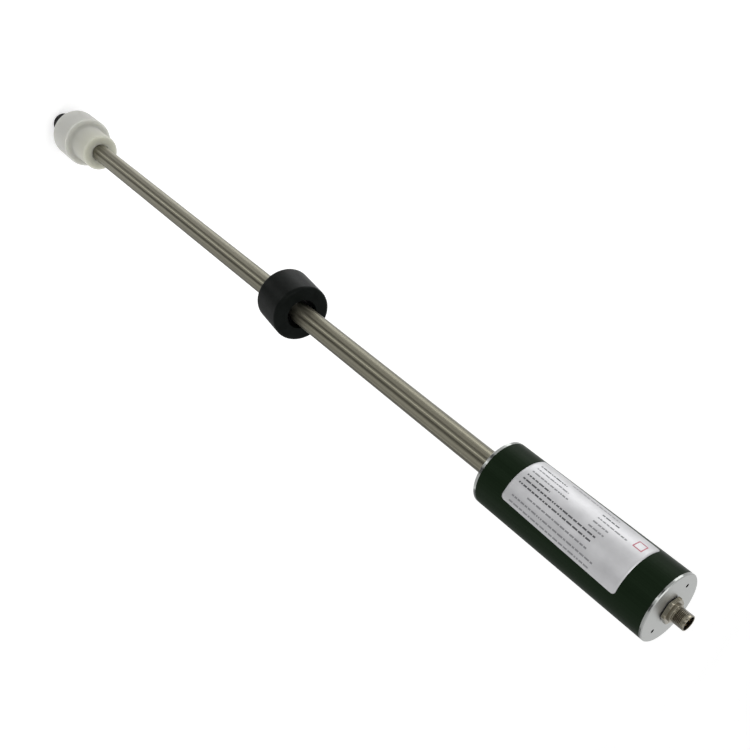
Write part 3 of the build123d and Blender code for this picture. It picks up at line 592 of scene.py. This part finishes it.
# Signal connector
# Nickel-plated brass. A hexagon clamps it on a rubber washer, and a nut inside holds it. Above a round
# step stands the M12 barrel with its thread of 1 mm pitch. A black core in its socket holds four gold
# pins.
HEX_FLATS = 18.0 * MM
HEX_THICKNESS = 2.8 * MM
HEX_TURN = np.radians(15.0)
HEX_CHAMFER = 0.5 * MM
HEX_CREASE = np.radians(25)
STEP_RADIUS = 7.0 * MM
STEP_HEIGHT = 1.9 * MM
BARREL_RADIUS = 6.0 * MM
BARREL_LENGTH = 9.4 * MM
RELIEF_DEPTH = 0.4 * MM
RELIEF_HEIGHT = 1.2 * MM
THREAD_PITCH = 1.0 * MM
THREAD_DEPTH = 0.08 * MM
THREAD_CREST = 0.12
THREAD_FLANKS = 0.70
THREAD_ROWS = 90
SOCKET_RADIUS = 5.2 * MM
NECK_RADIUS = 7.5 * MM
PLATING_EDGE = 0.15 * MM
RADIUS_SLACK = 1e-9

neck_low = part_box("connector_shell")[0].z
barrel_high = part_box("connector_shell")[1].z
barrel_low = barrel_high - BARREL_LENGTH
step_low = barrel_low - STEP_HEIGHT
hex_low = step_low - HEX_THICKNESS
relief_high = barrel_low + RELIEF_HEIGHT
groove_radius = BARREL_RADIUS - RELIEF_DEPTH


def threaded(name, outline, sides=96):
    """Turned piece whose barrel carries a thread.

    At height z and angle a, the thread's phase is z / pitch - a / full turn. The barrel's radius is cut
    by the depth times a V of that phase. Its crest and flanks take their shares of the pitch, its root is
    the rest, and the cut fades out at both ends.
    """
    angle = np.arange(sides) * 2 * np.pi / sides
    radius, height = outline[:, :1] + 0 * angle, outline[:, 1:] + 0 * angle
    phase = (height / THREAD_PITCH - angle / (2 * np.pi)) % 1
    cut = np.clip((np.abs(2 * phase - 1) - THREAD_CREST) / THREAD_FLANKS, 0, 1)
    fade = np.clip((height - relief_high + THREAD_PITCH / 2) / THREAD_PITCH, 0, 1)
    fade *= np.clip((barrel_high - height - PLATING_EDGE) / THREAD_PITCH, 0, 1)
    on_barrel = (radius > groove_radius) & (height > relief_high - RELIEF_DEPTH)
    radius = np.where(on_barrel, radius - THREAD_DEPTH * cut * fade, radius)
    return skin(name, np.stack((radius * np.cos(angle), radius * np.sin(angle), height), -1))


shell_outline = section(
    (SOCKET_RADIUS, neck_low, PLATING_EDGE),
    (NECK_RADIUS, neck_low, PLATING_EDGE),
    (NECK_RADIUS, hex_low + HEX_THICKNESS / 2, PLATING_EDGE),
    (STEP_RADIUS, hex_low + HEX_THICKNESS / 2, PLATING_EDGE),
    (STEP_RADIUS, barrel_low, 2 * PLATING_EDGE),
    (groove_radius, barrel_low, PLATING_EDGE),
    (groove_radius, relief_high - RELIEF_DEPTH, PLATING_EDGE),
    (BARREL_RADIUS, relief_high, PLATING_EDGE),
    (BARREL_RADIUS, barrel_high, 2 * PLATING_EDGE),
    (SOCKET_RADIUS, barrel_high, PLATING_EDGE),
    steps=4,
)
# The barrel's straight side gets rows that are close enough together for the thread.
on_side = (shell_outline[:, 0] > BARREL_RADIUS - RADIUS_SLACK) & (shell_outline[:, 1] > relief_high)
thread_start = np.argmax(on_side) + 1
heights = np.linspace(relief_high + PLATING_EDGE, barrel_high - 3 * PLATING_EDGE, THREAD_ROWS)
thread_rows = np.stack((BARREL_RADIUS + 0 * heights, heights), -1)
shell_outline = np.vstack((shell_outline[:thread_start], thread_rows, shell_outline[thread_start:]))
shell = threaded("connector_shell_threaded", shell_outline)


def hexagonal(name, outline, sides=120):
    """Hexagonal piece with a turned chamfer.

    At angle a its radius is the smaller of the outline's and half the width / cos(a folded into +-30
    degrees), which is where the flats lie.
    """
    angle = HEX_TURN + np.arange(sides) * 2 * np.pi / sides
    folded = (angle - HEX_TURN) % (np.pi / 3) - np.pi / 6
    radius = np.minimum(outline[:, :1], HEX_FLATS / 2 / np.cos(folded))
    flat = (radius * np.cos(angle), radius * np.sin(angle), outline[:, 1:] + 0 * angle)
    return skin(name, np.stack(flat, -1))


hex_corner = HEX_FLATS / np.sqrt(3)
hex_bore = STEP_RADIUS - PLATING_EDGE
heights = np.array((hex_low, step_low - HEX_CHAMFER, step_low, step_low, hex_low))
radii = np.array((hex_corner, hex_corner, hex_corner - 2 * HEX_CHAMFER, hex_bore, hex_bore))
flange = hexagonal("connector_hexagon", np.stack((radii, heights), -1))
flange.data.set_sharp_from_angle(angle=HEX_CREASE)
nickel = finish("nickel", (0.22, 0.20, 0.16), 0.22, Metallic=1.0)
nickel_clouds = pattern(nickel, (250, 250, 250), detail=3.0)
colour_between(nickel, nickel_clouds, (0.195, 0.178, 0.138), (0.250, 0.230, 0.182))
relief(nickel, pattern(nickel, (1500, 1500, 1500)), 0.001 * MM)
for plated in (shell, flange):
    plated.data.materials.append(nickel)
    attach(plated, "probe")
    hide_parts("connector_shell")
dress(nickel, "connector_lock_nut")
core_black = finish("core_black", (0.010, 0.010, 0.010), 0.45)
relief(core_black, pattern(core_black, (2500, 2500, 2500)), 0.01 * MM)
dress(core_black, "connector_insert")
# Painted shade: the pins' gold is darkened for the shade deep in the socket.
shaded_pin_gold = finish("shaded_pin_gold", (0.30, 0.21, 0.08), 0.50, Metallic=1.0)
relief(shaded_pin_gold, pattern(shaded_pin_gold, (3000, 3000, 300)), 0.003 * MM)
dress(shaded_pin_gold, "connector_pins")

# Room
# A pale floor under the foot and a white room, with softboxes at both sides and above. White and dark
# cards lie flat on the floor round the gauge, so that the polished stem shows bright and dark lines along
# it, as it would in a studio.
FLOOR_REACH = 40.0
FLOOR_COLOUR_DARK = (0.90, 0.90, 0.90)
FLOOR_COLOUR_LIGHT = (0.92, 0.92, 0.92)
FLOOR_GLOW = 0.36
ROOM_LIGHT = 0.70
CARD_NEAR = 0.11
CARD_FAR = 4.5
CARD_RISE = 0.002


def when_seen(tree, strength, unseen, seen):
    """Gives a strength one value for rays from the camera, a mirror or glass, and another for light.

    It is unseen + (seen - unseen) * the largest of those three kinds of ray, each of them 0 or 1.
    """
    rays = tree.nodes.new("ShaderNodeLightPath").outputs
    share = rays["Is Camera Ray"]
    for kind in ("Is Glossy Ray", "Is Transmission Ray"):
        either = tree.nodes.new("ShaderNodeMath")
        either.operation = "MAXIMUM"
        tree.links.new(share, either.inputs[0])
        tree.links.new(rays[kind], either.inputs[1])
        share = either.outputs[0]
    blend = tree.nodes.new("ShaderNodeMath")
    blend.operation = "MULTIPLY_ADD"
    blend.inputs[1].default_value = seen - unseen
    blend.inputs[2].default_value = unseen
    tree.links.new(share, blend.inputs[0])
    tree.links.new(blend.outputs[0], strength)


floor_corners = FLOOR_REACH * np.array((((-1, -1, 0), (1, -1, 0)), ((-1, 1, 0), (1, 1, 0))))
floor = skin("floor", floor_corners, closed=(False, False))
pale_floor = finish(
    "pale_floor", FLOOR_COLOUR_DARK, 0.9, Specular_IOR_Level=0.1, Emission_Color=(1, 1, 1, 1)
)
colour_between(pale_floor, pattern(pale_floor, (3, 3, 3)), FLOOR_COLOUR_DARK, FLOOR_COLOUR_LIGHT)
floor_shader = pale_floor.node_tree.nodes["Principled BSDF"]
when_seen(pale_floor.node_tree, floor_shader.inputs["Emission Strength"], unseen=0, seen=FLOOR_GLOW)
floor.data.materials.append(pale_floor)

room = bpy.data.worlds.new("room")
room.use_nodes = True
sky = room.node_tree.nodes["Background"]
sky.inputs["Color"].default_value = (1, 1, 1, 1)
when_seen(room.node_tree, sky.inputs["Strength"], unseen=ROOM_LIGHT, seen=1)
bpy.context.scene.world = room


def softbox(name, place, aim, width, height, watts, glints=True):
    """Rectangular lamp at a place, turned towards a point. The camera doesn't see it, and without glints
    the polished pieces don't either."""
    lamp = bpy.data.lights.new(name, "AREA")
    lamp.shape = "RECTANGLE"
    lamp.size = width
    lamp.size_y = height
    lamp.energy = watts
    box = bpy.data.objects.new(name, lamp)
    bpy.context.scene.collection.objects.link(box)
    box.location = place
    box.rotation_euler = (Vector(aim) - Vector(place)).to_track_quat("-Z", "Y").to_euler()
    box.visible_camera = False
    box.visible_glossy = glints


def card(name, towards, spread, brightness):
    """Flat wedge on the floor that points away from the gauge at an angle in degrees, and is as wide as
    its spread. It shows only in reflections, with an even brightness."""
    angle = np.radians((towards - spread / 2, towards + spread / 2))
    radius = np.array((CARD_NEAR, CARD_FAR))[:, None]
    flat = (radius * np.cos(angle), radius * np.sin(angle), CARD_RISE + 0 * radius * angle)
    wedge = skin(name, np.stack(flat, -1), closed=(False, False))
    surface = finish(
        name,
        (0, 0, 0),
        1.0,
        Specular_IOR_Level=0,
        Emission_Color=(1, 1, 1, 1),
        Emission_Strength=brightness,
    )
    wedge.data.materials.append(surface)
    wedge.visible_camera = False
    wedge.visible_diffuse = False
    wedge.visible_shadow = False


softbox("left_softbox", (-1.55, -0.25, 0.75), (0, 0, 0.75), width=0.35, height=1.45, watts=4.0)
softbox(
    "right_softbox", (1.60, 0.10, 0.75), (0, 0, 0.75), width=0.20, height=1.45, watts=6.0, glints=False
)
softbox("top_softbox", (-0.50, -0.90, 2.40), (0, 0, 0.6), width=1.00, height=1.00, watts=8.0)
card("white_card_left", towards=-189.0, spread=20.0, brightness=3.4)
card("dark_card_left", towards=-118.0, spread=16.0, brightness=0.2)
card("white_card_front", towards=-92.0, spread=7.0, brightness=3.0)
card("dark_card_front", towards=-62.0, spread=24.0, brightness=0.2)
card("dark_card_right", towards=50.0, spread=80.0, brightness=0.45)

bpy.context.scene.view_settings.view_transform = "Standard"
